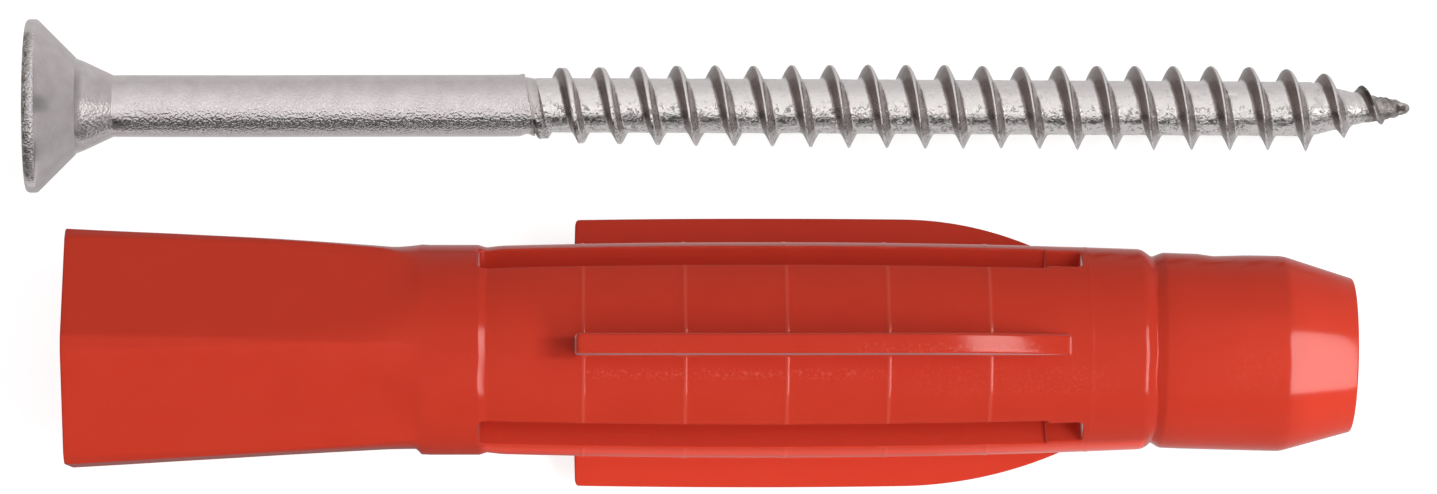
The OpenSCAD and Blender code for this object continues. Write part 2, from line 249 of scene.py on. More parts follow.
def upward(angles, roll, up=90):
    """Cosine of each angle, in radians, from the side seen that far up."""
    return np.cos(angles - math.radians(seen_angle(roll, up)))


def seen_up(points, roll):
    """How many degrees up from a piece's middle each point lies, as the camera sees it."""
    around = np.degrees(np.arctan2(points[:, 1], points[:, 0])) - seen_angle(roll, 0)
    return -((around + 180) % 360 - 180)


# Mesh helpers.
def linked(name, mesh):
    obj = bpy.data.objects.new(name, mesh)
    bpy.context.collection.objects.link(obj)
    return obj


def closed_mesh(name, points, faces):
    """Mesh from points and faces, with its normals turned outwards."""
    mesh = bpy.data.meshes.new(name)
    mesh.from_pydata([tuple(map(float, p)) for p in points], [], faces)
    bm = bmesh.new()
    bm.from_mesh(mesh)
    bmesh.ops.recalc_face_normals(bm, faces=bm.faces)
    bm.to_mesh(mesh)
    bm.free()
    return mesh


def spread_angles(count):
    return np.arange(count) * TAU / count


def round_ring(angles, radius, z):
    """Points round the axis, at one radius and height or each at its own."""
    return np.stack([radius * np.cos(angles), radius * np.sin(angles), z + 0 * angles], 1)


def stacked(name, rings, first, last):
    """Closed solid through rings of equal length, with a pole at each end."""
    around = len(rings[0])
    points = [first] + [p for ring in rings for p in ring] + [last]
    end = len(points) - 1
    faces = []
    for j in range(around):
        k = (j + 1) % around
        faces.append((0, 1 + k, 1 + j))
        faces.append((end, end - around + j, end - around + k))
        for i in range(len(rings) - 1):
            a, b = 1 + i * around, 1 + (i + 1) * around
            faces.append((a + j, a + k, b + k, b + j))
    return linked(name, closed_mesh(name, points, faces))


def combined(target, tool, operation):
    """Applies one exact boolean and deletes the tool."""
    modifier = target.modifiers.new("cut", "BOOLEAN")
    modifier.operation = operation
    modifier.solver = "MANIFOLD"
    modifier.object = tool
    result = bpy.data.meshes.new_from_object(
        target.evaluated_get(bpy.context.evaluated_depsgraph_get())
    )
    target.modifiers.clear()
    old = target.data
    target.data = result
    bpy.data.meshes.remove(old)
    spare = tool.data
    bpy.data.objects.remove(tool)
    bpy.data.meshes.remove(spare)
    return target


def turned(solid, degrees):
    solid.data.transform(Matrix.Rotation(math.radians(degrees), 4, "Z"))
    return solid


def local_points(mesh):
    flat = np.empty(len(mesh.vertices) * 3)
    mesh.vertices.foreach_get("co", flat)
    return flat.reshape(-1, 3)


def add_values(mesh, **named):
    """Stores a number for each point under each name, for the material to read."""
    for name, values in named.items():
        layer = mesh.attributes.new(name, "FLOAT", "POINT")
        layer.data.foreach_set("value", np.ascontiguousarray(values, dtype=np.float32))


def add_place(mesh):
    """Stores each point's upright place in millimetres, for the material's grain."""
    layer = mesh.attributes.new("place", "FLOAT_VECTOR", "POINT")
    layer.data.foreach_set("vector", local_points(mesh).astype(np.float32).ravel())


def smooth(mesh, sharp_angle):
    mesh.polygons.foreach_set("use_smooth", [True] * len(mesh.polygons))
    mesh.set_sharp_from_angle(angle=math.radians(sharp_angle))
    mesh.update()


def lay(mesh, matrix, bow):
    """Moves a piece's points into the shared frame, bent along Y by its bow."""
    shift = along(bow, local_points(mesh)[:, 2]) * MM
    mesh.transform(matrix)
    points = local_points(mesh)
    points[:, 1] += shift
    mesh.vertices.foreach_set("co", points.ravel())
    mesh.update()


def rounded(line, cuts, steps=4):
    """The line with each inner corner replaced by a curve that starts that far from it."""
    result = [line[0]]
    for i in range(1, len(line) - 1):
        p, a, b = np.array(line[i]), np.array(line[i - 1]), np.array(line[i + 1])
        la, lb = np.linalg.norm(a - p), np.linalg.norm(b - p)
        cut = min(cuts[i], la * 0.49, lb * 0.49)
        start, stop = p + (a - p) / la * cut, p + (b - p) / lb * cut
        for t in np.linspace(0, 1, steps + 1):
            result.append(tuple((1 - t) ** 2 * start + 2 * t * (1 - t) * p + t * t * stop))
    result.append(line[-1])
    return result


def between(a, b, steps):
    """Points after a, up to and with b, in even steps."""
    return [tuple(np.array(a) + (np.array(b) - a) * i / steps) for i in range(1, steps + 1)]


def filled(line, axis, longest):
    """The line with points added where it runs further than the longest step along an axis."""
    rows = [line[0]]
    for p in line[1:]:
        pieces = max(1, int(abs(p[axis] - rows[-1][axis]) / longest))
        rows += between(rows[-1], p, pieces)
    return rows


def arc_points(centre, r, start, stop, steps):
    angles = np.radians(np.linspace(start, stop, steps + 1))
    return [(centre[0] + r * math.cos(a), centre[1] + r * math.sin(a)) for a in angles]


# Screw.
AROUND = 144
TURN_STEPS = 96
CREST_ROUND, ROOT_ROUND = 0.06, 0.08
SHANK_TILT, SHANK_LIP, SHANK_NOTCH = 0.295, 0.05, 0.15
TIP_START, TIP_AROUND = SCREW_LEN - 4.4, 72
TIP_EXTRA, TIP_BLUNT, TIP_SKIN, TIP_PIT = 0.12, 0.22, 0.075, 0.16
THREAD_H = THREAD_R - CORE_R
STRIP_Z = PLAIN_LEN - HIDDEN_TURNS * PITCH
POINT_SLOPE = (CORE_R - POINT_R) / POINT_LEN
CREST_SLOPE = (THREAD_R - CREST_POINT_R) / CREST_POINT_LEN
CONE_FOOT = (
    HEAD_R - RIM_ROUND * (1 - math.cos(math.radians(HEAD_ANGLE))),
    RIM_H - RIM_ROUND * (1 - math.sin(math.radians(HEAD_ANGLE))),
)
NECK_Z = CONE_FOOT[1] + (CONE_FOOT[0] - NECK_R) / math.tan(math.radians(HEAD_ANGLE))


def core_radius(z):
    return np.minimum(CORE_R, POINT_R + (SCREW_LEN - z) * POINT_SLOPE)


def risen(z):
    """Share of its full height that the thread has at height z, as it leaves the shank."""
    turns = (z - PLAIN_LEN + PITCH / 4) / PITCH
    first = FIRST_RISE * np.clip(turns, 0, 1)
    return first + (1 - FIRST_RISE) * np.clip(turns / SLOW_TURNS, 0, 1)


def turn_height(z):
    """Height of the crest above the core at height z."""
    full = THREAD_H * risen(z)
    cone = THREAD_R - (z - SCREW_LEN + CREST_POINT_LEN) * CREST_SLOPE - core_radius(z)
    fade = FADE_SLOPE * (SCREW_LEN - BARE_TIP_LEN - z)
    worn = np.minimum(full, cone) + along(CREST_CHANGE, z)
    return np.maximum(0, np.minimum(worn, fade))


def head_outline():
    """Radius and height along the head, the neck and the plain shank."""
    line = [(0.9, 0.0), (1.9, 0.0), (2.8, 0.0), (3.8, 0.0)]
    rim_r = HEAD_R - RIM_ROUND
    line += arc_points((rim_r, RIM_ROUND), RIM_ROUND, -90, 0, 8)
    line += arc_points((rim_r, RIM_H - RIM_ROUND), RIM_ROUND, 0, HEAD_ANGLE, 4)
    crease, fillet = 0.02, 0.05
    foot, top, end = line[-1], (NECK_R, NECK_Z), (SHANK_R, NECK_Z + NECK_LEN)
    line += between(foot, (top[0] + fillet, top[1] - fillet), 8)
    line += [(top[0] - crease, top[1])]
    line += between((top[0], top[1] + fillet), (end[0] + fillet / 2, end[1] - fillet), 5)
    line += [end, (end[0] - crease / 2, end[1] + fillet)]
    line += between((SHANK_R, end[1] + 4 * fillet), (SHANK_R, PLAIN_LEN - 1), 24)
    line += between((SHANK_R, PLAIN_LEN - 1), (SHANK_R, PLAIN_LEN - 0.04), 8)
    line += [(SHANK_R - 0.04, PLAIN_LEN), (SHANK_R - 0.5, PLAIN_LEN), (0.8, PLAIN_LEN)]
    return line


def screw_body():
    """Head, neck and plain shank, whose end is cut a little aslant, with a lip and a notch."""
    angles = spread_angles(AROUND)
    above = upward(angles, SCREW_ROLL)
    rings = []
    for r, z in head_outline():
        lip = SHANK_LIP * rise(z, PLAIN_LEN - 0.45, 0.3) * (0.6 + 0.4 * above)
        notch = SHANK_NOTCH * hump(z, PLAIN_LEN - 0.35, 0.2) * fall(above, -0.75, 0.2)
        reach = r + (r > SHANK_R - 0.1) * (lip - notch)
        rings.append(round_ring(angles, reach, z - SHANK_TILT * above * rise(z, PLAIN_LEN - 1, 1)))
    return stacked("screw", rings, (0, 0, 0), (0, 0, PLAIN_LEN))


def cross_outline(wing, thick, corner, spread):
    """Outline of the cross recess at one depth, with hollow inner corners."""
    half = thick / 2
    side = [
        (half + corner, half + corner * 0.35), (wing - corner, half), (wing - 0.05, half - corner)
    ]
    points = []
    for turn in spread_angles(4):
        cos, sin = math.cos(turn), math.sin(turn)
        for x, y in [(x, -y) for x, y in side] + side[::-1]:
            x, y = x + spread, y + math.copysign(spread, y)
            points.append((x * cos - y * sin, x * sin + y * cos))
    return points


def recess_cutter():
    """Solid of the cross recess, with a broken edge at the face and a pointed floor."""
    levels = (
        (-0.3, RECESS_R, RECESS_WING, 0.12),
        (-0.02, RECESS_R, RECESS_WING, 0.12),
        (0.12, RECESS_R - 0.05, RECESS_WING - 0.04, 0.0),
        (RECESS_DEPTH * 0.6, 1.9, RECESS_WING - 0.1, 0.0),
        (RECESS_DEPTH, RECESS_FLOOR_R, RECESS_WING - 0.16, -0.02),
        (RECESS_DEPTH + 0.25, RECESS_FLOOR_R * 0.5, RECESS_WING * 0.42, -0.02),
    )
    rings = [
        [(x, y, z) for x, y in cross_outline(wing, thick, 0.2, spread)]
        for z, wing, thick, spread in levels
    ]
    return stacked("recess", rings, (0, 0, -0.3), (0, 0, RECESS_DEPTH + 0.4))


def mark_cutter(degrees):
    """Solid of two opposite fine marks between the wings, narrowing downwards."""
    reach, floor_reach, half = RECESS_FLOOR_R + MARK_W / 2, RECESS_WING / 2, MARK_W / 2
    levels = ((-0.3, reach, half), (0.0, reach, half), (MARK_DEPTH, floor_reach, half * 0.7))
    rings = [[(x, -y, z), (x, y, z), (-x, y, z), (-x, -y, z)] for z, x, y in levels]
    return turned(stacked("mark", rings, (0, 0, -0.3), (0, 0, MARK_DEPTH)), degrees)


def strip_offsets():
    """Offsets along the axis from a turn's middle, close together on its flanks."""
    half = TURN_BASE / 2
    right = np.array(
        [0.03, 0.075, 0.14, 0.24, 0.34, 0.42, half - 0.03, half + 0.09, half + 0.27, half + 0.44]
    )
    return np.concatenate([[-PITCH / 2], -right[::-1], right])


def turn_ridge(angle, middle, height, offsets):
    """How far each point of the strip stands out from the core."""
    blunt = (0.5 + 0.5 * upward(angle, SCREW_ROLL)) ** 1.5
    last_turn = rise(middle, SCREW_LEN - 4.1, 0.4)
    crest = TURN_CREST + BLUNT_SHARE * (TURN_BASE - TURN_CREST) * (1 - risen(middle))
    crest_half = crest / 2 - 0.02 + 0.1 * blunt * (1 - last_turn)
    foot = TURN_BASE / 2 - 0.06 + 0.04 * blunt
    wander = 0.0075 * np.sin(angle * 0.37) + 0.0045 * np.sin(angle * 1.71 + 1)
    rest = (foot - np.abs(offsets - wander)) / np.maximum(foot - crest_half, 0.05)
    rest = np.clip(rest, -1, 1.3)
    flank = height * np.sign(rest) * np.abs(rest) ** (1.25 - 0.15 * blunt)
    flank *= 1 - last_turn * 0.35 * (1 - rest.clip(0, 1))
    ridge = soft_min(flank, height, CREST_ROUND + 0.24 * blunt * height * (1 - last_turn))
    return soft_max(ridge, np.zeros_like(ridge), ROOT_ROUND * np.clip(height / THREAD_H, 0.15, 1))


def strip_faces(steps, count):
    """Faces between the strip's steps and turns, and round the pole at each end."""
    top, first_pole = count - 1, (steps + 1) * count
    last_pole = first_pole + 1

    def at(i, j):
        """Index of point j at step i, where the last point is the next turn's first."""
        return (i + TURN_STEPS) * count if j == count else i * count + j

    joint = steps - TURN_STEPS
    faces = [
        (at(i, j), at(i, j + 1), at(i + 1, j + 1), at(i + 1, j))
        for i in range(steps) for j in range(count if i < joint else top)
    ]
    faces += [(first_pole, at(i, 0), at(i + 1, 0)) for i in range(TURN_STEPS)]
    faces += [(last_pole, at(i + 1, top), at(i, top)) for i in range(joint, steps)]
    faces.append((first_pole, at(TURN_STEPS, 0)) + tuple(at(0, j) for j in range(top, -1, -1)))
    faces.append((last_pole, at(joint, top)) + tuple(at(steps, j) for j in range(count)))
    return faces


def screw_thread():
    """Core and turns as one closed strip wound round the axis, with a rough and dented skin."""
    offsets = strip_offsets()
    count = len(offsets)
    steps = int((SCREW_LEN - STRIP_Z - PITCH / 2 - offsets[-1] - 0.4) / PITCH * TURN_STEPS)
    angle = np.arange(steps + 1)[:, None] * TAU / TURN_STEPS
    middle = STRIP_Z + PITCH * (angle / TAU + 0.5)
    z = middle + offsets
    height = turn_height(middle)
    ridge = turn_ridge(angle, middle, height, offsets)
    radius = core_radius(z) + ridge
    radius -= 0.12 * rise(z, SCREW_LEN - 2.6, 1.2) * fall(ridge, 0.4, 0.4)
    radius -= 0.05 * np.clip(1 - np.abs(z - PLAIN_LEN - 0.12) / 0.3, 0, 1)
    flat = np.stack([radius * np.cos(angle), radius * np.sin(angle), z], 2).reshape(-1, 3)
    crest = np.clip(ridge / np.maximum(height, 0.05), 0, 1).ravel()
    rough = lumps(flat, 1.6, 1) * 0.02 + lumps(flat, 5.0, 2) * 0.012
    dents = np.minimum(lumps(flat, 2.6, 3) + 0.28, 0) * 0.12
    ending = rise(flat[:, 2], SCREW_LEN - 4.6, 0.8)
    change = rough * (0.6 + 0.6 * crest + 1.5 * crest * ending) + dents * (1 - 0.5 * crest)
    flat[:, :2] *= (1 + change / np.maximum(radius.ravel(), 0.3))[:, None]
    points = list(flat) + [(0, 0, STRIP_Z + PITCH / 2), (0, 0, SCREW_LEN - 0.5)]
    return linked("thread", closed_mesh("thread", points, strip_faces(steps, count)))


def screw_tip():
    """Cone of the point, with its rough skin and a pit near the end."""
    angles = spread_angles(TIP_AROUND)
    near_end = np.array([0.2, 0.13, 0.07, 0.025])
    heights = np.concatenate([np.arange(TIP_START, SCREW_LEN - 0.25, 0.09), SCREW_LEN - near_end])
    side_on = np.angle(np.exp(1j * (angles - math.radians(seen_angle(SCREW_ROLL, -4)))))
    rings = []
    for z in heights:
        r = core_radius(z) + 0.02 - 0.1 * (1 - rise(z, TIP_START, 1.6))
        r += TIP_EXTRA * rise(z, SCREW_LEN - 2.8, 1.5) * (1 - 0.3 * rise(z, SCREW_LEN - 0.8, 0.6))
        blunt = max(0.0, (z - SCREW_LEN + TIP_BLUNT) / TIP_BLUNT)
        r *= math.sqrt(max(0.0, 1 - blunt ** 2))
        ring = round_ring(angles, r, z)
        skin = TIP_SKIN * rise(z, TIP_START + 1, 1.5) * min(1.0, (SCREW_LEN - z) / 0.5)
        bumps = skin * (lumps(ring, 3.2, 5) + 0.6 * lumps(ring, 8.0, 6))
        pit = TIP_PIT * hump(z, SCREW_LEN - 0.5, 0.22) * hump(side_on, 0, 0.75)
        ring[:, :2] *= ((r + bumps - np.minimum(pit, r * 0.6)) / r)[:, None]
        rings.append(ring)
    return stacked("tip", rings, (0, 0, TIP_START), (0, 0, SCREW_LEN))


def screw_values(mesh):
    """Where the steel is grainy, satin, marked, dirty or has painted shade and glints, by height,
    radius and seen side.
    """
    points = local_points(mesh)
    z, r, up = points[:, 2], np.hypot(points[:, 0], points[:, 1]), seen_up(points, SCREW_ROLL)
    shank = rise(z, 5.3, 0.8) * fall(z, PLAIN_LEN + 0.1, 0.3)
    # On the shank and the neck the grain is strongest where the highlight band falls, so its lighter
    # specks are partly painted glints.
    shank *= 0.25 + 0.75 * rise(up, -78, 16) * fall(up, 32, 30)
    neck = rise(z, NECK_Z, 0.7) * fall(z, 5.2, 0.5) * rise(up, -75, 30) * fall(up, 35, 60)
    # Rim: grain and darkening strongest on the seen side; the darkening is painted shade along the
    # edge next to the face.
    rim = fall(z, RIM_H - 0.12, 0.06) * rise(r, HEAD_R - 0.4, 0.1)
    rim *= 0.25 + 2.0 * rise(up, -62, 10) * fall(up, 62, 10)
    cone = rise(z, 0.7, 0.2) * fall(z, NECK_Z, 0.2)
    smudge = rise(z, 0.65, 0.1) * fall(z, NECK_Z - 1, 1.2) * rise(up, -8, 6) * fall(up, 9, 6)
    # Painted shade: a dark line in the crease between cone and neck, on the seen side.
    crease = (np.abs(z - NECK_Z) < 0.03) * rise(up, -70, 20) * fall(up, 60, 20)
    # Darker inside the cross recess.
    recess = fall(r, HEAD_R * 0.62, 0.3) * rise(z, 0.06, 0.1) * fall(z, NECK_Z, 0.2)

    thread = rise(z, PLAIN_LEN - 0.2, 0.4)
    height = turn_height(z)
    above = np.clip((r - core_radius(z)) / np.maximum(height, 0.2), 0, 1)
    turns = (z - STRIP_Z) / PITCH - 0.5 - np.arctan2(points[:, 1], points[:, 0]) / TAU
    past_crest = (turns - np.round(turns)) * PITCH
    tall = thread * rise(above, 0, 0.2) * rise(height, 0, 0.3)
    burr = rise(z, SCREW_LEN - 3.6, 0.2) * fall(z, SCREW_LEN - 2, 0.2) * (past_crest < 0.06)
    burr *= rise(above, 0.5, 0.12) * fall(above, 1, 0.015) * rise(up, 2, 12) * fall(up, 125, 20)
    # Painted shade in the tip's pit.
    pit = rise(z, SCREW_LEN - 0.95, 0.2) * fall(z, SCREW_LEN - 0.2, 0.1)
    pit *= rise(up, -50, 20) * fall(up, 40, 20)
    tip = rise(z, SCREW_LEN - 3, 1)

    add_values(
        mesh,
        grain=shank + 0.9 * neck + rim + 0.12 * cone,
        satin=np.maximum(cone, 0.2 * (z > 0.7) * fall(z, NECK_Z + NECK_LEN, 0.1)),
        smudge=smudge,
        worked=thread,
        pitted=thread * (0.2 + 0.8 * fall(up, 12, 24)),
        # Painted shade on the thread: darker flanks, darkest on the flanks that face the head.
        flank=tall * fall(above, 1, 0.15),
        headward=tall * fall(past_crest, -0.02, 0.08),
        # The burr's dark curl, with painted shade in the tip's pit and the neck's crease.
        burr=np.maximum(np.maximum(burr, 0.9 * pit), 0.3 * crease),
        # Dirt on the tip, darker inside the recess, and painted shade along the rim's edge next to
        # the face.
        dirt=np.clip(0.65 * tip + 0.8 * recess + 0.4 * rim * fall(z, 0.42, 0.15), 0, 1),
    )


def build_screw():
    body = screw_body()
    for cutter in (recess_cutter(), mark_cutter(45), mark_cutter(135)):
        combined(body, cutter, "DIFFERENCE")
    for part in (screw_thread(), screw_tip()):
        combined(body, part, "UNION")
    return body


# Plug.
COLUMNS = 288
CORNER_CROWD = 6.0
EDGE = 0.12
FIN_BASE, FIN_FILLET, FIN_TOP_ROUND = 4.5, 0.22, 0.16
FIN_SINK, FIN_SPARE, FIN_SINK_D = 0.005, -0.0035, 25.0
COLLAR_DROP, COLLAR_FALL = 0.14, 0.36
LAST_RING = 0.4
DENT_Z, DENT_DEPTH = 64.9, 0.11
SLOT_AHEAD, SLOT_EDGE, SLOT_CORNER = 0.22, 0.12, 0.35
GROOVE_MID = GROOVE_Z + GROOVE_W / 2


def flare_radius(angles, z):
    """Radius of the six-sided flare, whose corners fade into a round, at height z."""
    from_side = (angles - SIDE / 2) % SIDE
    from_side = np.minimum(from_side, SIDE - from_side)
    flat = MOUTH_FLATS / 2 + (FLARE_END_FLATS - MOUTH_FLATS) / 2 * z / FLARE_LEN
    steep = MOUTH_CORNER_R + (FLARE_KNEE_R - MOUTH_CORNER_R) * z / FLARE_KNEE_Z
    late = (z - FLARE_KNEE_Z) / (FLARE_LEN - FLARE_KNEE_Z)
    corner = soft_min(steep, FLARE_KNEE_R + (FLARE_END_R - FLARE_KNEE_R) * late, 0.5)
    corner += along(CORNER_CHANGE, z)
    return soft_min(flat / np.cos(from_side), corner, 0.07 + 0.5 * rise(z, 9, 9))


def barrel_outline():
    """Radius and height from the collar to the end of the nose."""
    places = [1.2] + list(np.linspace(2.9, BARREL_LEN, 13))
    groove_r = barrel_radius(BARREL_LEN) - GROOVE_DEPTH
    line = [
        (COLLAR_R, FLARE_LEN + 0.02), (COLLAR_R, FLARE_LEN + 0.5), (COLLAR_R, BARREL_Z - 0.08),
        (COLLAR_R - COLLAR_DROP, BARREL_Z + COLLAR_FALL),
    ] + [(barrel_radius(d), BARREL_Z + d) for d in places] + [
        (groove_r - 0.04, GROOVE_MID - 0.1), (groove_r - 0.08, GROOVE_MID - 0.08 + GROOVE_FLOOR),
        (NOSE_R, NOSE_Z), (NOSE_R, CONE_Z), (NOSE_END_R, PLUG_LEN),
        (PILOT_R + 1, PLUG_LEN), (1.0, PLUG_LEN),
    ]
    cuts = [0, 0.1, 0.08, 0.08, 0.3] + [0.5] * 12 + [0.36, 0.16, 0.16, 0.14, 0.3, 0.12, 0, 0]
    return filled(rounded(line, cuts), 1, 0.9)


def plug_rows(angles):
    """Radii and height of each row of points, from the mouth to the end of the nose."""
    rows = []
    under = rise(upward(angles, plug_roll, -90), 0.55, 0.3)
    for z in (0.0, 0.012, 0.035, 0.07, EDGE, *np.linspace(0.4, FLARE_LEN - 0.3, 44)):
        inset = EDGE - math.sqrt(max(0.0, EDGE ** 2 - max(0.0, EDGE - z) ** 2))
        radius = flare_radius(angles, z) - inset
        blend = rise(z, FLARE_LEN - 2.4, 2.9) * (1 - 0.85 * under)
        rows.append((radius + (COLLAR_R - radius) * blend, z))
    rows.append((rows[-1][0] * 0.5 + COLLAR_R * 0.5, FLARE_LEN - 0.12))

    ring_d = RING_START + RING_PITCH * np.arange(RING_COUNT)
    for r, z in barrel_outline():
        if np.abs(z - BARREL_Z - ring_d).min() > RING_W:
            rows.append((np.full(COLUMNS, r), z))
    near_side = [(-0.75, 0), (-0.5, 0.2), (-0.25, 0.85)]
    profile = near_side + [(0, 1)] + [(-off, share) for off, share in near_side[::-1]]
    for d in ring_d:
        raised = RING_H * (LAST_RING if d == ring_d[-1] else 1)
        for off, share in profile:
            place = d + off * RING_W
            rows.append((np.full(COLUMNS, barrel_radius(place) + raised * share), BARREL_Z + place))
    return sorted(rows, key=lambda row: (row[1], -row[0][0] if row[1] > CONE_Z else 0))


def plug_outside():
    """Flare, collar, barrel, groove and nose as one closed solid, with the nose bent."""
    even = (np.arange(COLUMNS) + 0.5) * TAU / COLUMNS
    angles = even - math.radians(CORNER_CROWD) * np.sin(TAU * even / SIDE)
    wave = 0.3 * np.sin(7 * angles + 2) + 0.2 * np.sin(13 * angles)
    side_on = np.angle(np.exp(1j * (angles - math.radians(seen_angle(plug_roll, 88)))))
    rings = []
    for radius, z in plug_rows(angles):
        dent = DENT_DEPTH * hump(z, DENT_Z, 0.45 if z < DENT_Z else 1.3) * hump(side_on, 0, 0.5)
        worn = hump(z, BARREL_Z + 0.1, 0.3) + hump(z, GROOVE_MID, 0.5)
        far = z - GROOVE_MID + 0.11 * worn * (0.5 * np.sin(3 * angles + z) + wave)
        x, y, far = round_ring(angles, radius * (1 - dent / NOSE_R), far).T
        bend = math.radians(NOSE_BEND) * rise(z, GROOVE_MID - 0.3, 0.6)
        side = y * math.cos(bend) + far * math.sin(bend)
        height = GROOVE_MID + far * math.cos(bend) - y * math.sin(bend)
        rings.append(np.stack([x, side, height], 1))
    return stacked("wall_plug", rings, (0, 0, 0), (0, 0.2, PLUG_LEN))


def fin_top(d, sunk):
    """Radius of a fin's top at a distance from the collar."""
    bend_d = FIN_START + FIN_TOP_LEN
    if d <= bend_d:
        start = max(0.0, FIN_CORNER - (d - FIN_START))
        drop = FIN_CORNER - math.sqrt(FIN_CORNER ** 2 - start ** 2)
    else:
        drop = FIN_CURVE - math.sqrt(FIN_CURVE ** 2 - (d - bend_d) ** 2)
        drop += sunk * max(0.0, d - FIN_SINK_D) ** 2
    return FIN_R - barrel_fall(d) - drop


def fin_side(d, inset, sunk):
    """Half of a fin's cross-section, with a fillet along its foot and a rounded top edge."""
    half, f, e = FIN_T / 2, FIN_FILLET, FIN_TOP_ROUND
    foot = math.sqrt(barrel_radius(d) ** 2 - (half + f) ** 2) - 0.01
    top = max(fin_top(d, sunk) - inset, FIN_BASE + 0.3)
    side = [(FIN_BASE, half + f), (foot - 0.15, half + f)]
    for a in np.radians(np.linspace(0, 90, 6)):
        side.append((foot + f - f * math.cos(a), half + f - f * math.sin(a)))
    side += [(foot + f + (top - e - foot - f) * t, half) for t in (0.25, 0.5, 0.75, 1.0)]
    for a in np.radians(np.linspace(18, 90, 5)):
        side.append((top - e + e * math.sin(a), half - e + e * math.cos(a)))
    side = [(min(x, top), max(y - inset, 0.02)) for x, y in side] + [(top, (half - e) * 0.5)]
    return side, top


def fin(degrees, sunk):
    """One fin, whose start leans a little and has rounded edges."""
    stations = [(0.0, 0.11), (0.015, 0.07), (0.045, 0.03), (0.1, 0.0)]
    straight, curved = np.linspace(1, FIN_TOP_LEN, 22), FIN_TOP_LEN + np.linspace(0.4, 13.2, 30)
    stations += [(s, 0.0) for s in (0.17, 0.25, 0.5, *straight, *curved)]
    rings = []
    for s, inset in stations:
        side, top = fin_side(FIN_START + s, inset, sunk)
        path = [(x, -y) for x, y in side] + [(top, 0.0)] + side[::-1]
        z = BARREL_Z + FIN_START + s
        slope = 0.15 * fall(s, 1.5, 1.5) / (FIN_R - BORE_R)
        rings.append([(x, y, z - slope * (FIN_R - x)) for x, y in path])
    first, last = (6.0, 0, BARREL_Z + FIN_START - 0.07), (FIN_BASE + 0.1, 0, z)
    return turned(stacked("fin", rings, first, last), degrees)


def slot_outline():
    """Outline of a slot seen from outside, as place along the plug and place across."""
    half, tail = SLOT_W / 2, SLOT_TAIL_W / 2
    start, stop, neck = SLOT_Z - SLOT_AHEAD, SLOT_END_Z, SLOT_END_Z - SLOT_TAIL_LEN
    line = [(start, 0.0), (start, half), (neck, half), (neck, tail), (stop, tail), (stop, 0.0)]
    rows = filled(rounded(line, [0, SLOT_CORNER, 0.05, 0.05, SLOT_CORNER, 0], 3), 0, 0.8)
    return np.array(rows + [(z, -y) for z, y in reversed(rows[1:-1])])


def slot_cutter(degrees):
    """Solid of one slot, widening in a small round at the barrel's surface."""
    outline = slot_outline()
    ahead = np.roll(outline, -1, 0) - np.roll(outline, 1, 0)
    length = np.maximum(np.hypot(ahead[:, 0], ahead[:, 1]), 1e-6)
    normal = np.stack([-ahead[:, 1], ahead[:, 0]], 1) / length[:, None]
    e = SLOT_EDGE
    levels = [(None, 0.0)] + [
        (e * math.sin(a) - e, e - e * math.cos(a)) for a in np.radians(np.linspace(0, 90, 6))
    ] + [(3.5, e)]
    rings = []
    for level, spread in levels:
        z, y = (outline + normal * spread).T
        if level is None:
            x = np.zeros_like(z)
        else:
            x = np.sqrt(barrel_radius(z - BARREL_Z) ** 2 - y ** 2) + level + 0.004 * (level <= 0)
        rings.append(np.stack([x, y, z], 1))
    middle = (SLOT_Z + SLOT_END_Z) / 2
    return turned(stacked("slot", rings, (0, 0, middle), (9.8, 0, middle)), degrees)


def bore_cutter():
    """Solid of the bore, with a broken edge at the mouth and at the nose."""
    line = [
        (SEAT_R + 1.0, -0.5), (SEAT_R + 0.1, -0.02), (SEAT_R - 0.05, 0.05), (BORE_R, SEAT_R - BORE_R),
        (BORE_R, TAPER_Z), (PILOT_R, PILOT_Z), (PILOT_R, PLUG_LEN - 0.1),
        (PILOT_R + 0.12, PLUG_LEN + 0.02), (PILOT_R + 1.0, PLUG_LEN + 0.5),
    ]
    outline = rounded(line, [0, 0.05, 0.05, 0.2, 0.3, 0.3, 0.05, 0.05, 0], 3)
    rings = [round_ring(spread_angles(120), r, z) for r, z in outline]
    return stacked("bore", rings, (0, 0, -0.5), (0, 0, PLUG_LEN + 0.5))


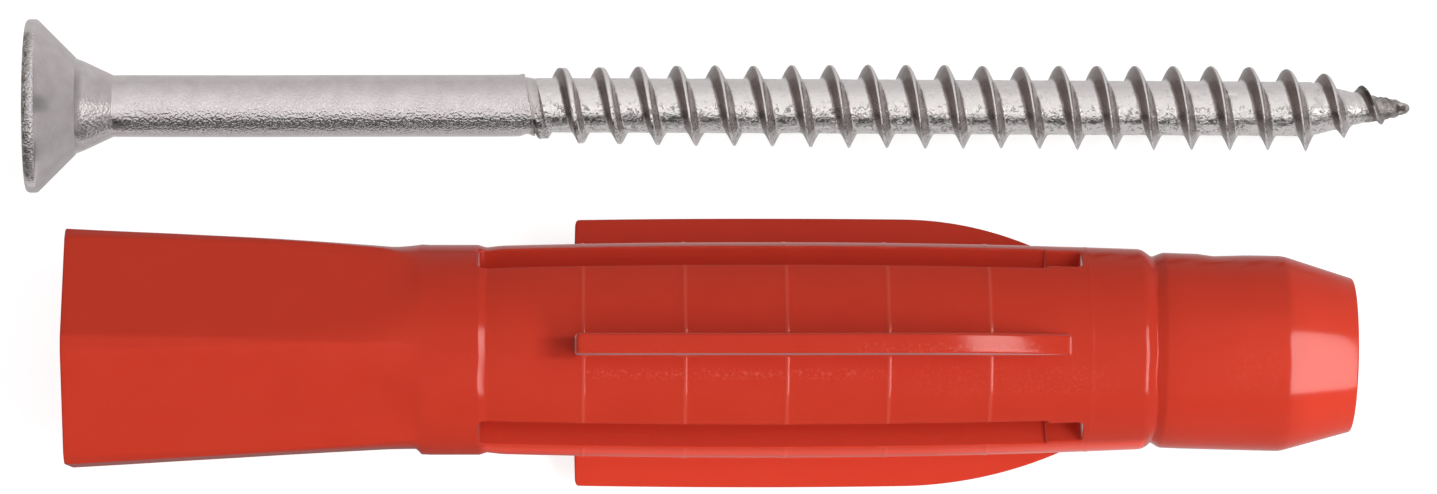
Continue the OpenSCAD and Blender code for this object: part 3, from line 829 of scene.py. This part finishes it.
def plug_values(mesh):
    """Where the plastic has painted glow, is dull, has a painted shadow, painted ring highlights or
    fuzz with painted glints.
    """
    points = local_points(mesh)
    z, up = points[:, 2], seen_up(points, plug_roll)
    lowest = math.radians(LOWEST_FIN * PETAL_ANGLE)
    out = points[:, 0] * math.cos(lowest) + points[:, 1] * math.sin(lowest)
    across = points[:, 1] * math.cos(lowest) - points[:, 0] * math.sin(lowest)
    outer = np.hypot(points[:, 0], points[:, 1]) - barrel_radius(z - BARREL_Z)
    skin = rise(outer, -0.12, 0.1)

    # Painted glow: lighter on the lowest fin, inside the slots, along the barrel's lower side and top
    # edge, on the nose with a painted sheen on its seen band, and on the cone.
    fin_part = rise(outer, 0, 0.5) * (out > 0) * (np.abs(across) < FIN_T)
    fin_part *= (z > SLOT_Z) * (z < GROOVE_Z)
    inside = fall(outer, -0.3, 0.4) * (z > SLOT_Z) * (z < SLOT_END_Z)
    rims = rise(up, -120, 12) * fall(up, -60, 12) + 0.8 * rise(up, 80, 6)
    rims *= rise(z, BARREL_Z, 0.5) * (z < GROOVE_Z) * (outer < 0.25)
    band = rise(z, NOSE_Z + 2, 4) * rise(up, -22, 16) * fall(up, 30, 16)
    nose = 0.1 * rise(z, NOSE_Z, 1.5) * (1 + band)
    nose = np.maximum(nose, 0.4 * rise(z, CONE_Z - 0.2, 0.8))

    ring_z = BARREL_Z + RING_START + RING_PITCH * np.arange(RING_COUNT - 1)
    from_ring = np.abs(z[:, None] - ring_z).min(1)

    def zone(low_z, high_z, low_up, high_up):
        """1 inside that stretch of the skin, fading out at its edges."""
        stretch = rise(z, low_z, 1.2) * fall(z, high_z, 1.2) * skin
        return stretch * rise(up, low_up, 3) * fall(up, high_up, 3)

    # Painted glints: pale specks in bands below the front fin, on its top and on the nose, over a
    # fine fuzz.
    fuzz = 0.8 * zone(28.5, 47, -16, -8) + 0.25 * zone(47, 60, -26, -6)
    fuzz += 0.25 * zone(64.5, 69.5, -24, 3) + 0.6 * zone(44, 58, -2.5, 5) * (outer > 1)
    add_values(
        mesh,
        thin=np.clip(0.32 * fin_part + nose + np.maximum(inside, rims), 0, 1),
        dull=inside,
        shade=zone(26.2, 29.4, -5, 9) * (outer < 0.3),
        # Painted highlights along the rings.
        scuff=0.4 * fall(from_ring, 0.13, 0.06) * skin * (outer < 0.2),
        fuzz=np.clip(fuzz, 0, 1),
    )


def build_plug():
    body = plug_outside()
    for k in range(PETALS):
        combined(body, fin(k * PETAL_ANGLE, FIN_SPARE if k == LOWEST_FIN else FIN_SINK), "UNION")
    for k in range(PETALS):
        middle = (k + 0.5) * PETAL_ANGLE - (SLOT_SHIFT if k == SEEN_SLOT else 0)
        combined(body, slot_cutter(middle), "DIFFERENCE")
    combined(body, bore_cutter(), "DIFFERENCE")
    return body


# Materials.
class Shading:
    """A tree of shader nodes, with short ways to add nodes and join them."""

    def __init__(self, tree):
        self.nodes, self.links = tree.nodes, tree.links

    def feed(self, socket, value):
        """Joins an output to a socket, or sets the socket to a number or a colour."""
        if isinstance(value, bpy.types.NodeSocket):
            self.links.new(value, socket)
        else:
            socket.default_value = (*value, 1) if isinstance(value, tuple) else value

    def calc(self, operation, *values):
        node = self.nodes.new("ShaderNodeMath")
        node.operation = operation
        for socket, value in zip(node.inputs, values):
            self.feed(socket, value)
        return node.outputs[0]

    def times(self, a, b):
        return self.calc("MULTIPLY", a, b)

    def plus(self, a, b):
        return self.calc("ADD", a, b)

    def scaled(self, value, by, base):
        return self.calc("MULTIPLY_ADD", value, by, base)

    def noise(self, scale, detail=3.0, roughness=0.6):
        """Noise that is fixed to the piece, with its scale per millimetre."""
        node = self.nodes.new("ShaderNodeTexNoise")
        node.inputs["Scale"].default_value = scale
        node.inputs["Detail"].default_value = detail
        node.inputs["Roughness"].default_value = roughness
        self.links.new(self.attribute("place", "Vector"), node.inputs["Vector"])
        return node.outputs["Fac"]

    def ramp(self, value, low, high, clamp=True):
        """Value brought from 0 at low to 1 at high."""
        node = self.nodes.new("ShaderNodeMapRange")
        node.clamp = clamp
        node.inputs["From Min"].default_value = low
        node.inputs["From Max"].default_value = high
        self.links.new(value, node.inputs["Value"])
        return node.outputs["Result"]

    def colour(self, share, a, b):
        """Colour a, with that share of colour b."""
        node = self.nodes.new("ShaderNodeMix")
        node.data_type = "RGBA"
        for place, value in ((0, share), (6, a), (7, b)):
            self.feed(node.inputs[place], value)
        return node.outputs[2]

    def level(self, share, a, b):
        """Number a, with that share of number b."""
        node = self.nodes.new("ShaderNodeMix")
        for place, value in ((0, share), (2, a), (3, b)):
            self.feed(node.inputs[place], value)
        return node.outputs[0]

    def attribute(self, name, kind="Fac"):
        node = self.nodes.new("ShaderNodeAttribute")
        node.attribute_name = name
        return node.outputs[kind]

    def light_path(self):
        return self.nodes.new("ShaderNodeLightPath").outputs

    def bump(self, height, strength, distance):
        node = self.nodes.new("ShaderNodeBump")
        node.inputs["Strength"].default_value = strength
        node.inputs["Distance"].default_value = distance * MM
        self.links.new(height, node.inputs["Height"])
        return node.outputs[0]


def new_material(name, **settings):
    """Material with those settings, its node helper and a way to feed its shader."""
    material = bpy.data.materials.new(name)
    material.use_nodes = True
    sh = Shading(material.node_tree)
    shader = sh.nodes["Principled BSDF"]
    for key, value in settings.items():
        sh.feed(shader.inputs[key.replace("_", " ")], value)
    return material, sh, shader.inputs


def steel_material():
    """Zinc with specks and pits and fine dark lines, stained where it is dirty, with painted shade on
    the flanks, crease, tip's pit and rim, and partly painted glints in the specks.
    """
    material, sh, inputs = new_material("zinc_steel", Metallic=1.0)
    grain, worked, pitted, dirt = map(sh.attribute, ("grain", "worked", "pitted", "dirt"))
    speck = sh.ramp(sh.noise(6.8, 1.0, 0.4), 0.35, 0.65)
    mottle = sh.ramp(sh.noise(1.1), 0.3, 0.7)
    pits = sh.noise(2.4, 2.0)
    base = sh.colour(mottle, (0.69, 0.615, 0.62), (0.79, 0.73, 0.73))
    base = sh.colour(sh.times(worked, 0.75), base, (0.93, 0.885, 0.87))
    # Lighter grain specks, set mostly where the highlight falls: real grain and partly painted
    # glints.
    base = sh.colour(sh.times(speck, sh.times(grain, 0.3)), base, (0.98, 0.95, 0.96))
    base = sh.colour(sh.times(sh.attribute("smudge"), 0.8), base, (0.28, 0.3, 0.28))
    # Painted shade: darker thread flanks, darkest on the flanks that face the head.
    base = sh.colour(sh.times(sh.attribute("flank"), 0.42), base, (0.28, 0.225, 0.21))
    base = sh.colour(sh.times(sh.attribute("headward"), 0.8), base, (0.16, 0.12, 0.115))
    patchy = sh.ramp(sh.noise(2.7, 3.0, 0.7), 0.4, 0.6)
    # Dirt on the tip, darker inside the recess, and painted shade along the rim's edge next to the
    # face.
    base = sh.colour(sh.times(dirt, sh.scaled(patchy, 0.7, 0.3)), base, (0.2, 0.17, 0.15))
    contour = sh.calc("ABSOLUTE", sh.calc("SUBTRACT", sh.noise(2.1, 3.0, 0.65), 0.47))
    line = sh.times(sh.ramp(contour, 0.035, 0.008), sh.ramp(pits, 0.46, 0.58))
    line = sh.times(line, pitted)
    # Dark marks: fine lines and the burr, with painted shade in the tip's pit and the neck's crease.
    marks = sh.calc("MAXIMUM", sh.times(line, 0.5), sh.attribute("burr"))
    sh.feed(inputs["Base Color"], sh.colour(marks, base, (0.1, 0.08, 0.07)))
    rough = sh.plus(sh.scaled(dirt, 0.25, 0.2), sh.times(sh.attribute("satin"), 0.2))
    sh.feed(inputs["Roughness"], rough)
    height = sh.times(speck, sh.plus(sh.times(grain, 1.05), sh.times(worked, 0.3)))
    height = sh.plus(height, sh.times(sh.times(sh.ramp(pits, 0.28, 0.4), pitted), 1.3))
    height = sh.calc("SUBTRACT", height, sh.times(line, 1.4))
    sh.feed(inputs["Normal"], sh.bump(height, 1.0, 0.02))
    return material


def plastic_material():
    """Glossy red with fuzz on its skin, painted glow, painted glints, painted highlights along its
    rings and a painted shadow by the seen fin's start.
    """
    material, sh, inputs = new_material(
        "red_plastic", IOR=1.18, Specular_IOR_Level=0.5, Subsurface_Weight=0.12,
        Subsurface_Scale=0.8 * MM,
    )
    inputs["Subsurface Radius"].default_value = (1.0, 0.25, 0.12)
    fine = sh.noise(5.0, 2.0)
    base = sh.colour(sh.noise(0.35), (0.535, 0.036, 0.017), (0.58, 0.045, 0.022))
    # Painted glow and sheen: lowest fin, slot insides, barrel's lower side and top edge, nose and
    # cone made lighter.
    base = sh.colour(sh.attribute("thin"), base, (0.95, 0.08, 0.042))
    # Painted glints in the fuzz and painted highlights along the rings.
    fuzz = sh.times(sh.ramp(sh.noise(5.0, 2.0, 0.7), 0.52, 0.7), sh.attribute("fuzz"))
    pale = sh.times(sh.calc("MAXIMUM", fuzz, sh.attribute("scuff")), 0.4)
    base = sh.colour(pale, base, (0.78, 0.2, 0.14))
    base = sh.colour(sh.times(sh.attribute("shade"), 0.5), base, (0.3, 0.012, 0.006))
    sh.feed(inputs["Base Color"], base)
    rough = sh.scaled(sh.ramp(fine, 0.3, 0.7, False), 0.05, 0.14)
    sh.feed(inputs["Roughness"], sh.plus(rough, sh.times(sh.attribute("dull"), 0.6)))
    sh.feed(inputs["Normal"], sh.bump(sh.plus(fine, sh.times(fuzz, 3.0)), 0.5, 0.004))
    return material


def floor_material():
    """Pale ground that reads as white to the camera and still takes the shadow."""
    material, sh, inputs = new_material(
        "white_ground", Roughness=0.9, Specular_IOR_Level=0.0, Emission_Color=(1, 1, 1)
    )
    path = sh.light_path()
    seen = sh.calc("MAXIMUM", path["Is Camera Ray"], path["Is Transmission Ray"])
    glossy = path["Is Glossy Ray"]
    sh.feed(inputs["Base Color"], sh.colour(glossy, (0.5, 0.5, 0.5), (0.0, 0.0, 0.0)))
    mirrored = sh.times(sh.attribute("mirrored"), glossy)
    sh.feed(inputs["Emission Strength"], sh.plus(sh.times(seen, 0.78), mirrored))
    return material


# Ground in lengthwise strips, as (place along Y, level that mirrored rays see there), in metres.
# Beside the thread the dark levels are raised, and from its last turns on all are even, so the
# head's cone, which faces that way, mirrors no dark streak.
GROUND_HALF = 3.0
THREAD_X, THREAD_LEVEL = -0.008, 0.3
LAST_TURNS_X, EVEN_LEVEL = 0.016, 0.62
GROUND_STRIPS = (
    (-GROUND_HALF, 0.17), (-0.009, 0.17), (-0.004, 0.18), (-0.0022, 0.74), (0, 0.8), (0.001, 0.5),
    (0.004, 0.5), (0.0055, 0.62), (GROUND_HALF, 0.62),
)
GROUND_COLUMNS = (-GROUND_HALF, -0.01, -0.006, 0.012, 0.02, GROUND_HALF)


def add_floor():
    def mirrored_level(x, level):
        if x > LAST_TURNS_X:
            return EVEN_LEVEL
        return max(level, THREAD_LEVEL) if x > THREAD_X else level

    points = [(x, y, 0) for y, level in GROUND_STRIPS for x in GROUND_COLUMNS]
    levels = [mirrored_level(x, level) for y, level in GROUND_STRIPS for x in GROUND_COLUMNS]
    wide = len(GROUND_COLUMNS)
    corners = [i * wide + j for i in range(len(GROUND_STRIPS) - 1) for j in range(wide - 1)]
    mesh = bpy.data.meshes.new("ground")
    mesh.from_pydata(points, [], [(i, i + 1, i + wide + 1, i + wide) for i in corners])
    add_values(mesh, mirrored=levels)
    mesh.materials.append(floor_material())
    linked("ground", mesh)


# Light. The sky's bands are (degrees from straight up towards +Y, level that mirrored rays see).
SKY_LEVEL = 0.5
SKY_BANDS = (
    (-114, 0.42), (-98, 0.05), (-69, 0.05), (-58, 0.7), (-46, 0.8), (0, 0.9), (20, 0.86),
    (40, 0.74), (95, 0.56),
)


def add_world():
    """White to the camera, plain for diffuse light, and banded for reflections."""
    world = bpy.data.worlds.new("surround")
    bpy.context.scene.world = world
    world.use_nodes = True
    sh = Shading(world.node_tree)
    sh.nodes.clear()
    split = sh.nodes.new("ShaderNodeSeparateXYZ")
    sh.feed(split.inputs[0], sh.nodes.new("ShaderNodeTexCoord").outputs["Generated"])
    x, y, z = split.outputs
    band = sh.nodes.new("ShaderNodeValToRGB")
    sh.feed(band.inputs[0], sh.scaled(sh.calc("ARCTAN2", y, z), 1 / TAU, 0.5))
    elements = band.color_ramp.elements
    while len(elements) < len(SKY_BANDS):
        elements.new(0.5)
    for element, (degrees, level) in zip(elements, SKY_BANDS):
        element.position = degrees / 360 + 0.5
    for element, (degrees, level) in zip(elements, SKY_BANDS):
        element.color = (level, level, level, 1)
    past_ends = sh.ramp(sh.calc("ABSOLUTE", x), 0.45, 0.85)
    mirrored = sh.level(past_ends, band.outputs[0], sh.scaled(x, 0.16, 0.34))
    path = sh.light_path()
    level = sh.level(path["Is Glossy Ray"], SKY_LEVEL, mirrored)
    shader = sh.nodes.new("ShaderNodeBackground")
    sh.feed(shader.inputs["Color"], (1, 1, 1))
    sh.feed(shader.inputs["Strength"], sh.level(path["Is Camera Ray"], level, 1.0))
    sh.feed(sh.nodes.new("ShaderNodeOutputWorld").inputs["Surface"], shader.outputs[0])


def add_softbox(name, across, down, far, wide, high, level, mirrored_by=None):
    """Rectangular lamp seen from the origin, that many degrees towards +X and towards -Y.

    Its level is the brightness of its face. It either lights what is matt, or is only
    mirrored, and by one piece.
    """
    a, b = math.radians(across), math.radians(down)
    away = Vector((math.sin(a), -math.cos(a) * math.sin(b), math.cos(a) * math.cos(b)))
    right = (Vector((1, 0, 0)) - away * away.x).normalized()
    data = bpy.data.lights.new(name, "AREA")
    data.shape = "RECTANGLE"
    data.size, data.size_y = wide, high
    data.energy = level * wide * high * math.pi
    lamp = bpy.data.objects.new(name, data)
    turn = Matrix((right, away.cross(right), away)).transposed().to_4x4()
    lamp.matrix_world = Matrix.Translation(away * far) @ turn
    lamp.visible_glossy = mirrored_by is not None
    lamp.visible_diffuse = mirrored_by is None
    if mirrored_by:
        receivers = bpy.data.collections.new(name + "_on")
        receivers.objects.link(mirrored_by)
        lamp.light_linking.receiver_collection = receivers
    bpy.context.collection.objects.link(lamp)


def add_piece(piece, add_own_values, sharp_angle, matrix, bow, material):
    """Gives a built piece its values, its place in the frame and its material."""
    add_place(piece.data)
    add_own_values(piece.data)
    smooth(piece.data, sharp_angle)
    lay(piece.data, matrix, bow)
    piece.data.materials.clear()
    piece.data.materials.append(material)
    return piece


add_camera()
add_floor()
screw = add_piece(build_screw(), screw_values, 50, screw_frame, SCREW_BOW, steel_material())
plug = add_piece(build_plug(), plug_values, 40, plug_frame, PLUG_BOW, plastic_material())
plug.visible_glossy = False  # The photograph's steel mirrors no red.
add_world()
add_softbox("key", 35, 24, 0.6, 0.13, 0.58, 9.0)
add_softbox("fill", -5, 72, 0.65, 0.7, 0.25, 1.6)
add_softbox("plug_gleam", 41.5, 28, 0.6, 0.24, 0.75, 26.0, plug)
add_softbox("screw_band", 0, 30, 0.6, 0.16, 0.46, 0.25, screw)
add_softbox("screw_gleam", 38, 26, 0.6, 0.18, 0.36, 0.8, screw)

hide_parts("screw")
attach(screw, "root")
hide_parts("wall_plug")
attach(plug, "root")
